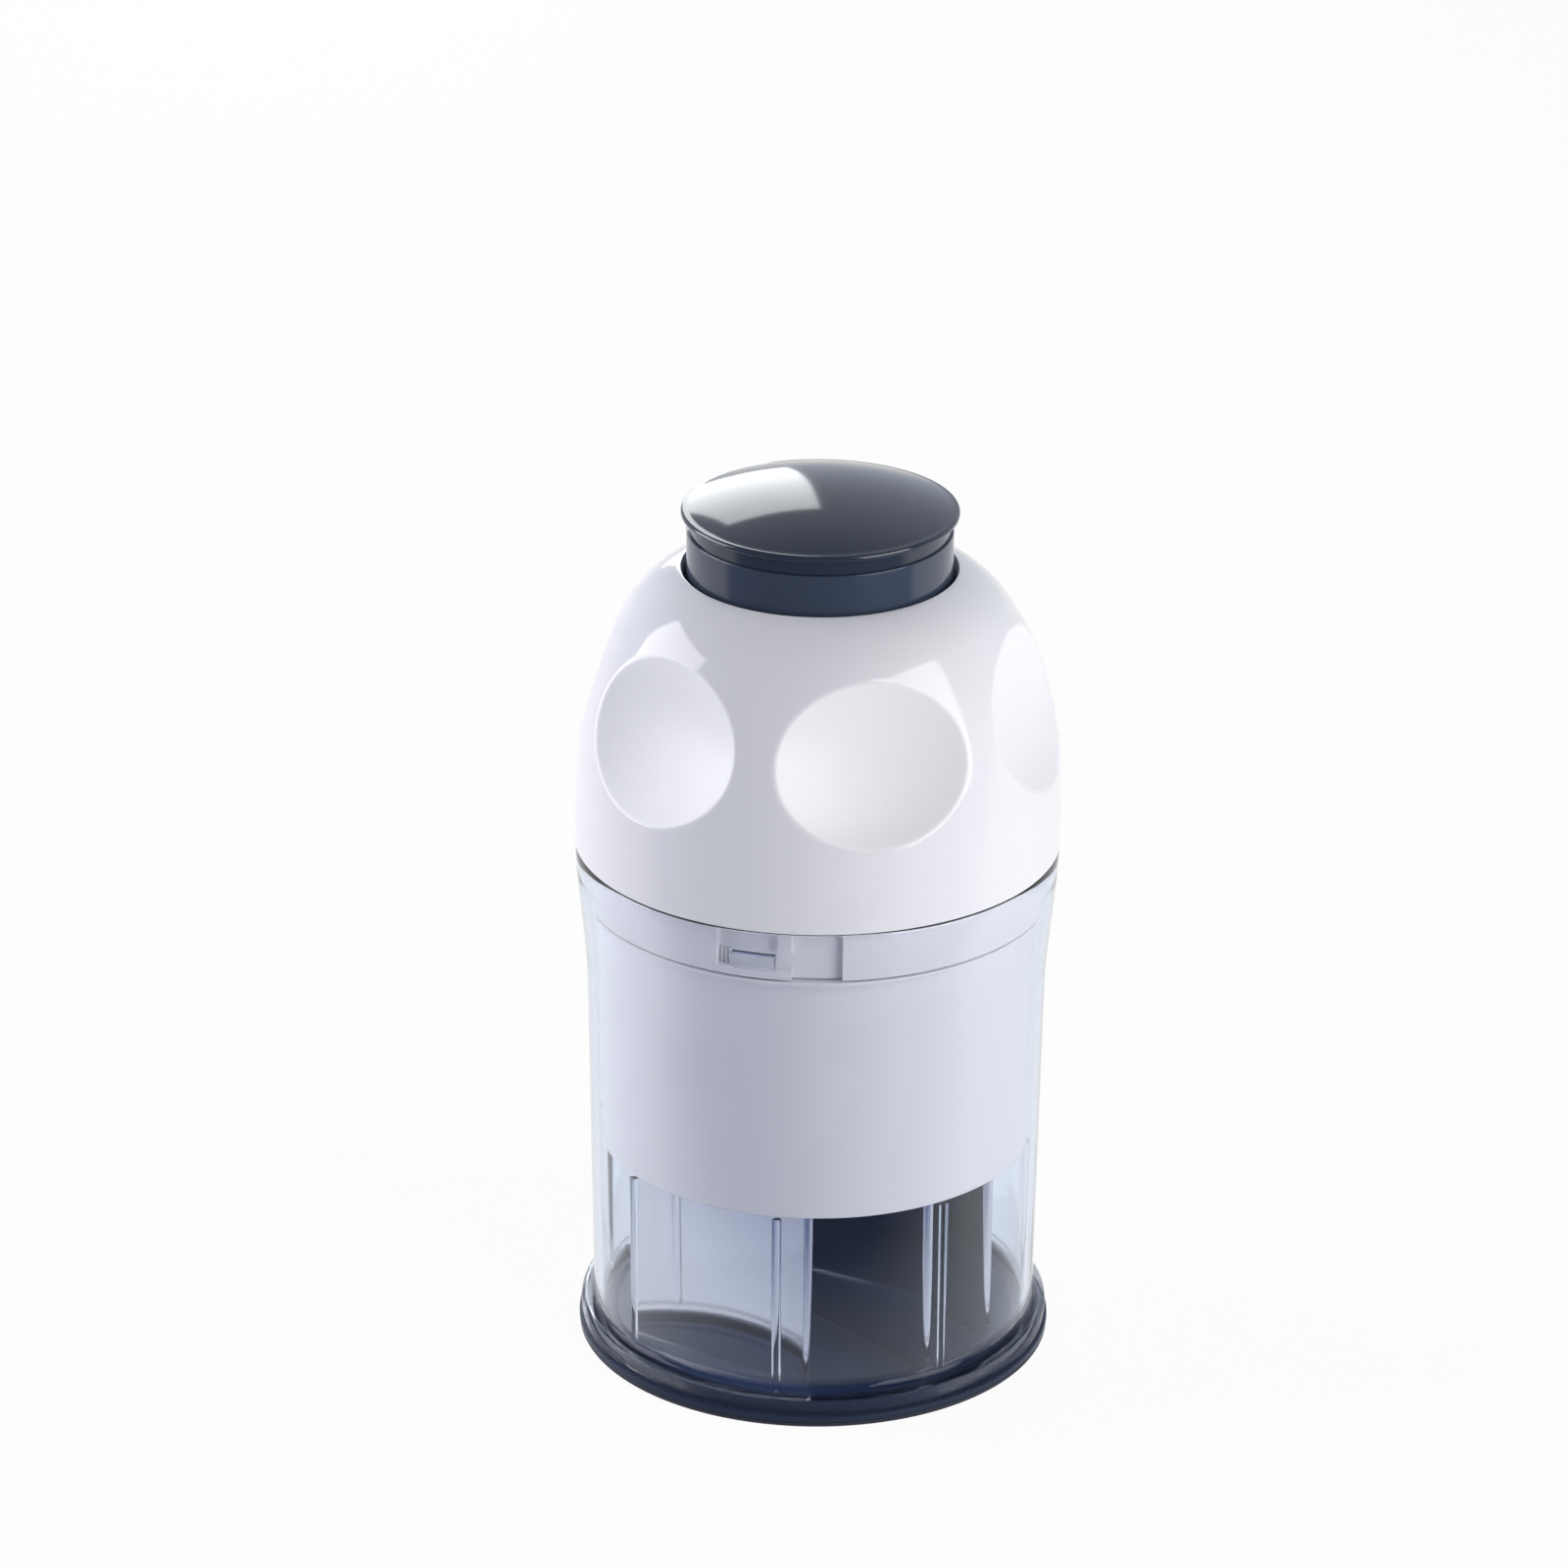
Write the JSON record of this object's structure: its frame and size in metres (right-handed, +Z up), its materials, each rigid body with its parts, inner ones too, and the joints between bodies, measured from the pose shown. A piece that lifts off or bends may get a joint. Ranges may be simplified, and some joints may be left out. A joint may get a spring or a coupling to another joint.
{
  "type": "plunger food chopper",
  "caption": "Hand-held food chopper: a sprung plunger drives a zigzag blade down through a slotted guard into a clear cup on a non-slip base, and turns it a step at each stroke.",
  "frame": {"origin": "centre of the underside of the anti-slip ring that the chopper stands on", "axes": "+Z up along the plunger's axis, -Y towards the viewer of the picture, +X to the viewer's right"},
  "size_m": [0.1026, 0.1026, 0.193],
  "materials": {
    "anthracite_plastic": "satin moulded anthracite ABS",
    "slate_plastic": "polished slate-grey ABS",
    "dark_rubber": "matt moulded rubber",
    "grey_rubber": "matt silicone rubber",
    "clear_plastic": "clear polished copolyester with a faint blue-green cast",
    "white_gloss_plastic": "polished white ABS",
    "white_satin_plastic": "satin white polypropylene",
    "pale_acetal": "satin pale grey acetal",
    "polished_blade_steel": "polished stainless strip with a faint rolling grain",
    "plated_steel": "bright zinc or nickel plate",
    "spring_steel": "drawn stainless spring wire",
    "sintered_bronze": "sintered bronze, dull"
  },
  "bodies": {
    "base": {"base_dish": "anthracite_plastic", "antislip_ring": "dark_rubber", "base_seal": "grey_rubber"},
    "cup": {"container": "clear_plastic"},
    "head": {"upper_housing": "white_gloss_plastic", "blade_guard": "white_satin_plastic", "guide_deck": "white_satin_plastic", "deck_screws": "plated_steel", "guide_bush": "sintered_bronze", "cam_ring": "pale_acetal", "spring_seat": "plated_steel", "stop_bumper": "dark_rubber", "skirt_guide_ring": "anthracite_plastic", "return_spring": "spring_steel"},
    "plunger": {"knob_skirt": "slate_plastic", "knob_cap": "anthracite_plastic", "knob_screw": "plated_steel", "plunger_stem": "plated_steel", "thrust_washer": "pale_acetal", "hub_washer": "plated_steel", "hub_screw": "plated_steel"},
    "blade": {"blade_carrier": "white_satin_plastic", "index_ratchet": "pale_acetal", "zigzag_blade": "polished_blade_steel"},
    "wiper": {"wiper_disc": "white_satin_plastic"}
  },
  "joints": [
    {"name": "cup_lift", "type": "slide", "parent": "base", "child": "cup", "axis": [0, 0, 1], "range_m": [0, 0.035]},
    {"name": "head_twist", "type": "hinge", "parent": "cup", "child": "head", "pos_m": [0, 0, 0.108], "axis": [0, 0, 1], "range_deg": [-15.7, 0]},
    {"name": "plunger_slide", "type": "slide", "parent": "head", "child": "plunger", "axis": [0, 0, 1], "range_m": [0, 0.042], "deforming": ["return_spring"]},
    {"name": "blade_index", "type": "hinge", "parent": "plunger", "child": "blade", "pos_m": [0, 0, 0.058], "axis": [0, 0, 1], "continuous": true},
    {"name": "wiper_index", "type": "hinge", "parent": "head", "child": "wiper", "pos_m": [0, 0, 0.0493], "axis": [0, 0, 1], "continuous": true}
  ],
  "couplings": [
    {"joint": "wiper_index", "follows": "blade_index", "ratio": 1}
  ]
}
